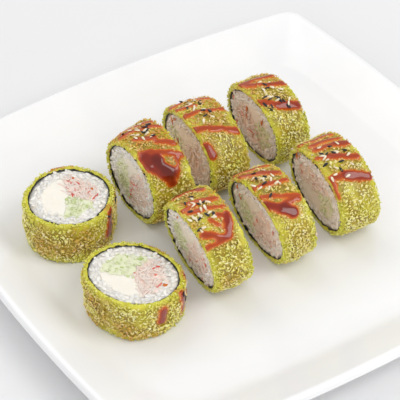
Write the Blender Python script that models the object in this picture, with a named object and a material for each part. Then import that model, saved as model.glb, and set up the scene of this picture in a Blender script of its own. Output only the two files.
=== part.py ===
"""Fried crab and cream cheese roll, cut in eight pieces, on its square porcelain plate.

Two pieces stand on a cut end and six lie on their side in two rows along +X.
Each piece has a crumb crust with its drizzle and sesame, and inside it a ring of
nori, a ring of rice, and a core of cream cheese, crab and chopped greens that run
through from one cut face to the other. Sizes in this file are millimetres.
"""

import math
import random

import bmesh
import bpy
from mathutils import Matrix, Vector

MM = 0.001
GAP = 0.3  # clearance between neighbouring pieces

# Plate
PLATE_SIDE = 245.0  # from corner to corner along the rim
PLATE_BOW = 8.7  # how far each side bulges at its middle
PLATE_CORNER = 9.0  # radius of the rim's corners
PLATE_HEIGHT = 19.0
PLATE_RIM = 5.0  # thickness of the rim's edge
WELL_FLOOR = 8.6  # height of the well's floor
WELL_EDGE = 27.0  # from the rim in to where the floor starts to rise
FLOOR_THICKNESS = 5.2
FOOT_OUTER = 44.0  # from the rim in to the foot's outer face
FOOT_WIDTH = 6.0
SIDE_POINTS = 7  # outline points along one side of the plate
CORNER_POINTS = 3  # outline points round one corner

# Layers of a piece, as distances in from the crust's outer face
CRUST = 2.7
NORI = 0.8
RICE = 3.9
NORI_FACE = CRUST + GAP
RICE_FACE = NORI_FACE + NORI + GAP
CORE_FACE = RICE_FACE + RICE + GAP
ROUND_POINTS = 24  # points round every layer, so that facing layers line up
SECTION_POWER = 2.15  # 2 is an ellipse, more is squarer
FLAT_SPOT = 0.9  # how much a lying piece is pressed flat underneath
BARREL = 0.025  # how much fuller a piece is at mid length
RIM_CREST = 0.35  # how far the crust's rim stands proud of the cut face
RIM_ROUND = 1.3  # rounding of the rim's outer edge
LAYER_RECESS = 0.3  # how far the fillings sit back from the cut faces
CRAG = 0.45  # height of the crust's lumps

# Toppings
DRIZZLE_HEIGHT = 0.9
DRIZZLE_SUNK = 0.5
DRIZZLE_STATIONS = 4
TOPPING_MARGIN = 0.07  # toppings stay this share of the length clear of the ends
SEED_LENGTH = 3.1
SEED_WIDTH = 1.9
SEED_THICKNESS = 1.3
SEED_LIFT = 0.15  # height of a seed's middle over the crust

# The pieces. x and y are the middle of the piece's footprint and yaw turns it about
# the upright. face and far are the width and height of the shown cut face and of the
# other one, length is the distance between them, lean tips the shown face of a lying
# piece and slope tips the top of a standing one, in degrees. cuts are the angles
# round the section, from its right-hand side upwards, where crab, the second
# filling and the third one begin. drizzle lists (angle, place) to (angle, place),
# width: place is 1 at the shown face and 0 at the far one. seeds is the range of
# angles and places of the sesame, with how many.
PIECES = {
    "a": dict(
        pose="stand", x=-74.4, y=37.4, yaw=38.7, face=(47.0, 45.0), far=(46.7, 44.0),
        length=24.0, slope=-0.8, hub=(2.0, 1.0), cuts=(-86, 34, 194),
        order=("crab", "cream_cheese", "greens"),
        drizzle=[((-62, 1.0), (-66, 0.3), 5.0), ((36, 1.0), (31, 0.55), 4.0)],
        seeds=((-70, -10), (0.9, 1.0), 4),
    ),
    "b": dict(
        pose="stand", x=-75.4, y=-27.3, yaw=13.1, face=(46.4, 50.4), far=(43.8, 47.5),
        length=22.2, slope=-6.8, hub=(-1.0, -1.0), cuts=(-120, 15, 135),
        order=("crab", "greens", "cream_cheese"),
        drizzle=[((-40, 1.0), (-44, 0.35), 4.6), ((-102, 0.72), (-103, 0.45), 4.6)],
        seeds=((-60, -15), (0.85, 1.0), 4),
    ),
    "c": dict(
        pose="lie", x=-29.8, y=32.3, yaw=2.6, face=(45.0, 44.9), far=(50.1, 48.2),
        length=21.7, lean=2.0, hub=(-2.0, 2.0), cuts=(-110, 50, 120),
        order=("crab", "cream_cheese", "greens"),
        drizzle=[
            ((128, 0.95), (126, 0.05), 2.8), ((116, 0.95), (105, 0.05), 2.8),
            ((88, 0.95), (73, 0.1), 3.0), ((66, 0.92), (46, 0.15), 6.0),
            ((54, 0.62), (24, 0.66), 9.0),
        ],
        seeds=((84, 122), (0.3, 0.8), 10),
    ),
    "d": dict(
        pose="lie", x=8.7, y=37.6, yaw=-2.8, face=(53.4, 41.1), far=(51.8, 40.7),
        length=22.2, lean=0.5, hub=(-3.0, 1.0), cuts=(-120, 60, 150),
        order=("crab", "cream_cheese", "greens"),
        drizzle=[
            ((132, 0.9), (126, 0.1), 2.8), ((112, 0.95), (104, 0.1), 2.8),
            ((90, 0.95), (84, 0.1), 2.6), ((66, 1.0), (50, 0.04), 4.2),
            ((48, 0.97), (33, 0.86), 4.6),
        ],
        seeds=((76, 112), (0.35, 0.75), 9),
    ),
    "e": dict(
        pose="lie", x=47.8, y=36.1, yaw=0.2, face=(49.0, 42.9), far=(44.9, 42.6),
        length=20.5, lean=4.1, hub=(1.0, 2.0), cuts=(-70, 30, 130),
        order=("greens", "cream_cheese", "crab"),
        drizzle=[
            ((128, 0.9), (124, 0.1), 2.6), ((116, 1.0), (107, 0.08), 3.2),
            ((92, 0.9), (82, 0.05), 3.2), ((70, 0.9), (58, 0.45), 3.0),
            ((58, 0.45), (44, 0.06), 4.4),
        ],
        seeds=((52, 76), (0.2, 0.95), 10),
    ),
    "f": dict(
        pose="lie", x=-31.8, y=-27.0, yaw=-2.5, face=(49.8, 45.1), far=(50.1, 48.4),
        length=20.5, lean=8.0, hub=(-3.0, 0.0), cuts=(-110, 60, 130),
        order=("crab", "cream_cheese", "greens"),
        drizzle=[
            ((140, 0.75), (117, 0.2), 3.4), ((108, 0.9), (98, 0.1), 2.8),
            ((90, 0.9), (80, 0.1), 2.4), ((72, 0.42), (44, 0.3), 8.0),
            ((50, 0.66), (37, 0.44), 6.0),
        ],
        seeds=((58, 114), (0.4, 0.9), 11),
    ),
    "g": dict(
        pose="lie", x=7.4, y=-26.6, yaw=-1.8, face=(52.4, 41.7), far=(50.2, 42.7),
        length=19.3, lean=5.5, hub=(-4.0, 1.0), cuts=(-100, 70, 150),
        order=("crab", "cream_cheese", "greens"),
        drizzle=[
            ((128, 0.9), (122, 0.1), 2.8), ((113, 0.95), (110, 0.1), 2.8),
            ((99, 0.95), (94, 0.1), 2.6), ((80, 0.9), (72, 0.15), 2.8),
            ((68, 0.92), (48, 0.5), 6.4),
        ],
        seeds=((80, 108), (0.35, 0.95), 9),
    ),
    "h": dict(
        pose="lie", x=45.6, y=-26.6, yaw=-4.1, face=(52.0, 43.7), far=(51.2, 45.2),
        length=21.9, lean=4.9, hub=(-2.0, 0.0), cuts=(-70, 30, 190),
        order=("greens", "crab", "cream_cheese"),
        drizzle=[
            ((126, 0.9), (122, 0.1), 2.8), ((112, 0.95), (109, 0.1), 2.8),
            ((99, 0.95), (94, 0.1), 2.8), ((87, 0.95), (74, 0.15), 2.8),
            ((58, 0.8), (45, 0.06), 4.4),
        ],
        seeds=((52, 92), (0.5, 0.95), 9),
    ),
}

FILLINGS = {
    "porcelain": ((0.93, 0.93, 0.94), 0.12),
    "crust": ((0.60, 0.52, 0.11), 0.75),
    "nori": ((0.03, 0.04, 0.03), 0.5),
    "rice": ((0.86, 0.84, 0.82), 0.45),
    "cream_cheese": ((0.94, 0.92, 0.86), 0.4),
    "crab": ((0.86, 0.68, 0.62), 0.45),
    "greens": ((0.55, 0.66, 0.36), 0.45),
}


def clear_scene():
    for obj in list(bpy.data.objects):
        bpy.data.objects.remove(obj)


def make_material(name):
    colour, roughness = FILLINGS[name]
    material = bpy.data.materials.new(name)
    material.use_nodes = True
    shader = material.node_tree.nodes["Principled BSDF"]
    shader.inputs["Base Color"].default_value = (*colour, 1.0)
    shader.inputs["Roughness"].default_value = roughness
    shader.inputs["Metallic"].default_value = 0.0
    return material


def add_object(name, points, faces, material=None, smooth=None):
    """An object from points in millimetres, with its faces turned outwards."""
    mesh = bpy.data.meshes.new(name)
    body = bmesh.new()
    verts = [body.verts.new(Vector(p) * MM) for p in points]
    for face in faces:
        body.faces.new([verts[i] for i in face])
    bmesh.ops.triangulate(body, faces=body.faces)
    bmesh.ops.recalc_face_normals(body, faces=body.faces)
    body.to_mesh(mesh)
    body.free()
    obj = bpy.data.objects.new(name, mesh)
    bpy.context.scene.collection.objects.link(obj)
    if material is not None:
        mesh.materials.append(material)
    if smooth is not None:
        mesh.shade_smooth()
        mesh.set_sharp_from_angle(angle=math.radians(smooth))
    return obj


def skin(loops, capped=True):
    """Points and faces of a solid through loops of equal count; uncapped, the last joins the first."""
    count = len(loops[0])
    points = [p for loop in loops for p in loop]
    faces = []
    spans = len(loops) - 1 if capped else len(loops)
    for i in range(spans):
        here = i * count
        there = (i + 1) % len(loops) * count
        for j in range(count):
            k = (j + 1) % count
            faces.append((here + j, here + k, there + k, there + j))
    if capped:
        faces.append(tuple(range(count)))
        faces.append(tuple(range(len(points) - count, len(points))))
    return points, faces


# Plate


def bowed_square(inset, corner, z):
    """The plate's outline, taken in by inset, with the given corner radius, at height z."""
    half = PLATE_SIDE / 2 - inset
    bow = PLATE_BOW * half / (PLATE_SIDE / 2)
    radius = (half * half + bow * bow) / (2 * bow)
    middle = half + bow - radius
    reach = radius - corner
    corner_at = (middle + math.sqrt(2 * reach * reach - middle * middle)) / 2
    turn = math.atan2(corner_at, corner_at - middle)
    quarter = []
    for i in range(SIDE_POINTS):
        angle = turn * (2 * i / (SIDE_POINTS - 1) - 1)
        quarter.append((middle + radius * math.cos(angle), radius * math.sin(angle)))
    for i in range(1, CORNER_POINTS + 1):
        angle = turn + (math.pi / 2 - 2 * turn) * i / (CORNER_POINTS + 1)
        quarter.append((corner_at + corner * math.cos(angle), corner_at + corner * math.sin(angle)))
    loop = []
    for side in range(4):
        c, s = round(math.cos(side * math.pi / 2)), round(math.sin(side * math.pi / 2))
        loop += [(x * c - y * s, x * s + y * c, z) for x, y in quarter]
    return loop


def make_plate(material):
    """A shallow square plate: a flat well, a rising border, a rounded rim and a recessed foot."""
    under = WELL_FLOOR - FLOOR_THICKNESS
    rise = PLATE_HEIGHT - WELL_FLOOR
    foot_inner = FOOT_OUTER + FOOT_WIDTH
    profile = [
        (WELL_EDGE + 6, 40, WELL_FLOOR),
        (WELL_EDGE - 2, 36, WELL_FLOOR + 0.09 * rise),
        (WELL_EDGE - 10, 30, WELL_FLOOR + 0.40 * rise),
        (PLATE_RIM, 13, PLATE_HEIGHT - 1.0),
        (PLATE_RIM * 0.5, 11, PLATE_HEIGHT),
        (0.7, 9.6, PLATE_HEIGHT - 0.6),
        (0.0, PLATE_CORNER, PLATE_HEIGHT - PLATE_RIM * 0.5),
        (1.6, 10, PLATE_HEIGHT - PLATE_RIM),
        (WELL_EDGE - 2, 30, under + 2.2),
        (FOOT_OUTER - 1.2, 34, under),
        (FOOT_OUTER, 35, 0.0),
        (foot_inner, 36, 0.0),
        (foot_inner + 1.2, 37, under),
    ]
    loops = [bowed_square(inset, corner, z) for inset, corner, z in profile]
    points, faces = skin(loops)
    return add_object("plate", points, faces, material, smooth=40)


# Pieces of the roll


def section_point(width, height, angle, inset):
    """A point of the squared ellipse of that width and height, taken in by inset."""
    c, s = math.cos(angle), math.sin(angle)
    reach = (abs(c) ** SECTION_POWER + abs(s) ** SECTION_POWER) ** (-1 / SECTION_POWER)
    return (width / 2 - inset) * reach * c, (height / 2 - inset) * reach * s


def barrel(place):
    return 1 + BARREL * 4 * place * (1 - place)


def piece_point(piece, u, v, place, proud=0.0):
    """From the section's own frame to the plate's: u right and v up as the shown face is
    looked at, place along the piece, proud beyond the end that is nearer."""
    ends = piece["length"]
    lie = piece["pose"] == "lie"
    if lie:
        along = ends * (place - 0.5) + v * math.tan(math.radians(piece["lean"]))
    else:
        along = place * (ends + u * math.tan(math.radians(piece["slope"])))
    along += proud if place > 0.5 else -proud
    yaw = math.radians(piece["yaw"])
    ahead = Vector((math.cos(yaw), math.sin(yaw), 0))
    left = Vector((-math.sin(yaw), math.cos(yaw), 0))
    up = Vector((0, 0, 1))
    floor = Vector((piece["x"], piece["y"], WELL_FLOOR + GAP))
    if lie:
        middle = section_size(piece, place)[1] / 2 - FLAT_SPOT
        return floor - left * u + up * max(v + middle, 0.0) - ahead * along
    return floor + ahead * u + left * v + up * along


def section_size(piece, place):
    face, far = piece["face"], piece["far"]
    width = far[0] + (face[0] - far[0]) * place
    height = far[1] + (face[1] - far[1]) * place
    return width, height


def crag(piece, angle, place):
    """Height of the crust's lumps there, the same on each run."""
    a, b, c = piece["waves"]
    wave = math.sin(5 * angle + a) + math.sin(9 * angle - 7 * place + b)
    wave += math.sin(3 * angle + 11 * place + c)
    return CRAG * wave / 2


def surface_point(piece, angle, place, lift=0.0):
    """A point on the crust's outer face, or lift above it."""
    width, height = section_size(piece, place)
    rough = crag(piece, angle, place) + lift
    u, v = section_point(width * barrel(place), height * barrel(place), angle, -rough)
    return piece_point(piece, u, v, place)


def ring(piece, inset, place, proud=0.0, swell=False, rough=False):
    """A closed loop round the piece at that inset and place along it."""
    width, height = section_size(piece, place)
    fuller = barrel(place) if swell else 1.0
    loop = []
    for i in range(ROUND_POINTS):
        angle = 2 * math.pi * i / ROUND_POINTS
        lump = crag(piece, angle, place) if rough else 0.0
        u, v = section_point(width * fuller, height * fuller, angle, inset - lump)
        loop.append(piece_point(piece, u, v, place, proud + lump * 0.4))
    return loop


def make_crust_body(piece, name, material):
    """The crumb crust without its toppings: a lumpy tube with rounded rims."""
    shoulder = RIM_ROUND / piece["length"]
    foot_proud = 0.0 if piece["pose"] == "stand" else RIM_CREST
    loops = [
        ring(piece, CRUST, 0.0, foot_proud - LAYER_RECESS if foot_proud else 0.0),
        ring(piece, CRUST, 1.0, 0.0),
        ring(piece, CRUST * 0.45, 1.0, RIM_CREST, rough=True),
        ring(piece, 0.1, 1.0 - shoulder, swell=True, rough=True),
        ring(piece, 0.0, 0.68, swell=True, rough=True),
        ring(piece, 0.0, 0.34, swell=True, rough=True),
        ring(piece, 0.1, shoulder, swell=True, rough=True),
        ring(piece, CRUST * 0.45, 0.0, foot_proud),
    ]
    points, faces = skin(loops, capped=False)
    return add_object(name, points, faces, material, smooth=60)


def keep_off_ends(place):
    return min(max(place, TOPPING_MARGIN), 1 - TOPPING_MARGIN)


def make_drizzle(piece, start, end, width, name):
    """A thick ribbon of sauce over the crust between two (angle, place) points."""
    size = section_size(piece, 0.5)
    radius = (size[0] + size[1]) / 4
    turn = math.radians(end[0] - start[0]) * radius
    run = (end[1] - start[1]) * piece["length"]
    reach = math.hypot(turn, run)
    across_angle = run / reach / radius
    across_place = -turn / reach / piece["length"]
    profile = [(-0.5, -DRIZZLE_SUNK), (-0.3, 0.7), (0.0, 1.0), (0.3, 0.7), (0.5, -DRIZZLE_SUNK)]
    loops = []
    for i in range(DRIZZLE_STATIONS):
        t = i / (DRIZZLE_STATIONS - 1)
        fade = math.sqrt(max(0.0, 1 - (2 * t - 1) ** 4)) * 0.75 + 0.25
        loop = []
        for across, height in profile:
            offset = across * width * fade
            angle = math.radians(start[0] + (end[0] - start[0]) * t) + offset * across_angle
            place = start[1] + (end[1] - start[1]) * t + offset * across_place
            lift = height * DRIZZLE_HEIGHT * fade if height > 0 else height
            loop.append(surface_point(piece, angle, keep_off_ends(place), lift))
        loops.append(loop)
    points, faces = skin(loops)
    return add_object(name, points, faces)


def make_seed(piece, angle, place, turn, name):
    """A sesame seed lying on the crust, its length turned by turn."""
    middle = surface_point(piece, angle, place, SEED_LIFT)
    outward = (surface_point(piece, angle, place, 2.0) - middle).normalized()
    along = outward.orthogonal()
    along.rotate(Matrix.Rotation(turn, 3, outward))
    beside = outward.cross(along)
    body = bmesh.new()
    bmesh.ops.create_icosphere(body, subdivisions=1, radius=0.5)
    points = []
    for vert in body.verts:
        narrow = 1 - 0.5 * vert.co.x
        points.append(
            middle
            + along * vert.co.x * SEED_LENGTH
            + beside * vert.co.y * SEED_WIDTH * narrow
            + outward * vert.co.z * SEED_THICKNESS
        )
    faces = [tuple(v.index for v in face.verts) for face in body.faces]
    body.free()
    return add_object(name, points, faces)


def spread(low, high, index, count, draw):
    """The middle of an equal share of a range, moved by up to a third of the share."""
    share = (high - low) / count
    return low + share * (index + 0.5 + draw.uniform(-0.33, 0.33))


def make_toppings(piece, key, draw):
    toppings = []
    for i, (start, end, width) in enumerate(piece["drizzle"]):
        toppings.append(make_drizzle(piece, start, end, width, f"topping_{key}_sauce_{i}"))
    (low, high), (near, far), count = piece["seeds"]
    order = draw.sample(range(count), count)
    for i in range(count):
        angle = math.radians(spread(low, high, i, count, draw))
        place = keep_off_ends(spread(near, far, order[i], count, draw))
        turn = draw.uniform(0, math.pi)
        toppings.append(make_seed(piece, angle, place, turn, f"topping_{key}_seed_{i}"))
    return toppings


def fuse(body, toppings, solver="EXACT"):
    """One union of the crust with all that lies on it, applied, with the loose pieces removed."""
    group = bpy.data.collections.new(body.name + "_toppings")
    bpy.context.scene.collection.children.link(group)
    for obj in toppings:
        bpy.context.scene.collection.objects.unlink(obj)
        group.objects.link(obj)
    union = body.modifiers.new("toppings", "BOOLEAN")
    union.operation = "UNION"
    union.operand_type = "COLLECTION"
    union.collection = group
    union.solver = solver
    bpy.context.view_layer.update()
    graph = bpy.context.evaluated_depsgraph_get()
    fused = bpy.data.meshes.new_from_object(body.evaluated_get(graph))
    body.modifiers.remove(union)
    body.data = fused
    keep_largest(fused)
    for obj in toppings:
        bpy.data.objects.remove(obj)
    bpy.data.collections.remove(group)


def keep_largest(mesh):
    """Drops what the union left apart from the main body."""
    body = bmesh.new()
    body.from_mesh(mesh)
    left = set(body.verts)
    groups = []
    while left:
        group = set()
        edge = [left.pop()]
        while edge:
            vert = edge.pop()
            group.add(vert)
            for link in vert.link_edges:
                other = link.other_vert(vert)
                if other in left:
                    left.remove(other)
                    edge.append(other)
        groups.append(group)
    groups.sort(key=len)
    for group in groups[:-1]:
        bmesh.ops.delete(body, geom=list(group), context="VERTS")
    body.to_mesh(mesh)
    body.free()


def make_tube(piece, name, outer, inner, material):
    """A layer between two insets, through the whole piece."""
    foot = 0.0 if piece["pose"] == "stand" else -LAYER_RECESS
    loops = [
        ring(piece, inner, 0.0, foot),
        ring(piece, inner, 1.0, -LAYER_RECESS),
        ring(piece, outer, 1.0, -LAYER_RECESS),
        ring(piece, outer, 0.0, foot),
    ]
    points, faces = skin(loops, capped=False)
    return add_object(name, points, faces, material, smooth=40)


def inner_corner(hub, start, end, inset):
    """Where the lines from hub to start and to end meet once each is moved inwards by inset."""
    first = (start - hub).normalized()
    last = (end - hub).normalized()
    inward_first = Vector((-first.y, first.x)) * inset
    inward_last = Vector((last.y, -last.x)) * inset
    cross = first.x * last.y - first.y * last.x
    between = inward_last - inward_first
    along = (between.x * last.y - between.y * last.x) / cross
    return hub + inward_first + first * along


def make_filling(piece, name, begin, finish, material):
    """One share of the core, from angle begin to angle finish, through the whole piece."""
    hub = Vector(piece["hub"])
    foot = 0.0 if piece["pose"] == "stand" else -LAYER_RECESS
    steps = max(3, round((finish - begin) / 360 * ROUND_POINTS))
    loops = []
    for place, proud in ((0.0, foot), (1.0, -LAYER_RECESS)):
        width, height = section_size(piece, place)
        trim = math.degrees(GAP / 2 / (min(width, height) / 2 - CORE_FACE))
        rim = []
        for i in range(steps + 1):
            angle = begin + trim + (finish - begin - 2 * trim) * i / steps
            rim.append(Vector(section_point(width, height, math.radians(angle), CORE_FACE)))
        edge_first = Vector(section_point(width, height, math.radians(begin), CORE_FACE))
        edge_last = Vector(section_point(width, height, math.radians(finish), CORE_FACE))
        corner = inner_corner(hub, edge_first, edge_last, GAP / 2)
        loops.append([piece_point(piece, p.x, p.y, place, proud) for p in [corner, *rim]])
    points, faces = skin(loops)
    return add_object(name, points, faces, material, smooth=40)


def make_piece(key, piece, number, materials):
    draw = random.Random(number)
    piece["waves"] = [draw.uniform(0, 2 * math.pi) for _ in range(3)]
    crust = make_crust_body(piece, f"crust_{key}", materials["crust"])
    fuse(crust, make_toppings(piece, key, draw))
    make_tube(piece, f"nori_{key}", NORI_FACE, NORI_FACE + NORI, materials["nori"])
    make_tube(piece, f"rice_{key}", RICE_FACE, RICE_FACE + RICE, materials["rice"])
    cuts = [*piece["cuts"], piece["cuts"][0] + 360]
    for i, filling in enumerate(piece["order"]):
        make_filling(piece, f"{filling}_{key}", cuts[i], cuts[i + 1], materials[filling])


def main():
    clear_scene()
    materials = {name: make_material(name) for name in FILLINGS}
    make_plate(materials["porcelain"])
    for number, (key, piece) in enumerate(PIECES.items()):
        make_piece(key, piece, number, materials)


main()
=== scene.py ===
"""Looks for a crumb-fried crab and cream cheese roll, cut in eight, on its porcelain plate.

Every length is in millimetres until a mesh is made. A slice's own frame is u to the
right and v upwards as its shown cut face is looked at, and place runs along it, from
0 at the far cut face to 1 at the shown one.
"""

import math
import random

import bpy
import numpy as np
from mathutils import Matrix, Vector


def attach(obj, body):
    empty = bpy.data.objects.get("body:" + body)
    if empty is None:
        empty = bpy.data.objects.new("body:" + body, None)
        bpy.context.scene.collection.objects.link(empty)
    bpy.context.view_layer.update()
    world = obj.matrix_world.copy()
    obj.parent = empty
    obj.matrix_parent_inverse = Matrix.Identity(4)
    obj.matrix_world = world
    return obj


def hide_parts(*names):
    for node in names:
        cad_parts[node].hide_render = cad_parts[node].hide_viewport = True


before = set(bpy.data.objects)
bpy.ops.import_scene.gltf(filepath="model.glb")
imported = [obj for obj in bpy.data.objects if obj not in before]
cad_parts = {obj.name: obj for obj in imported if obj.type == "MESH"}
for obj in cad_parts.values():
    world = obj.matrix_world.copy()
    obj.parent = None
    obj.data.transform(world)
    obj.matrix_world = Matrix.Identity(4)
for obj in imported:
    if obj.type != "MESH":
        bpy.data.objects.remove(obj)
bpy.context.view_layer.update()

MM = 0.001

# Plate, as cast
PLATE_SIDE = 245.0
PLATE_BOW = 8.7
PLATE_CORNER = 9.0
PLATE_HEIGHT = 19.0
PLATE_RIM = 5.0
WELL_FLOOR = 8.6
WELL_EDGE = 27.0
FLOOR_THICKNESS = 5.2
FOOT_OUTER = 44.0
FOOT_WIDTH = 6.0

# Layers of a slice, as distances in from the crust's outer face
GAP = 0.3
CRUST = 2.7
CORE_FACE = 8.3
SECTION_POWER = 2.15
FLAT_SPOT = 0.9
RIM_EDGE = 2.2  # where the crust stops at a cut face, once crumbs have spilled over it
BARREL = 0.025
CRAG = 0.45

# Crumbs, glaze, grains and fillings, as drawn
CRUMBS_PER_SQUARE = 1.0  # over each square millimetre of crust
CRUMB_LENGTH = 1.5
RIM_CRUMB_LENGTH = 1.25
GLAZE_STEP = 0.55
RICE_GRAINS = 132  # on each cut face
FILLING_STEP = 0.7
CRAB_STRANDS = 30  # of each of four shapes on a cut face
CRAB_TURN = 0.9  # radians from the slice's own u
GREEN_CHIPS = 16  # of each of four shapes on a cut face
BLACK_SHARE = 0.42

# Camera, worked out from the plate's four sides and the slices in the photograph
CAMERA_AZIMUTH = -32.18
CAMERA_ELEVATION = 42.0
CAMERA_ROLL = -0.82
CAMERA_DISTANCE = 1033.5
CAMERA_TARGET = (-12.0, 11.5, 19.2)
CAMERA_LENS = 180.0  # on a sensor 36 wide

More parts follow.
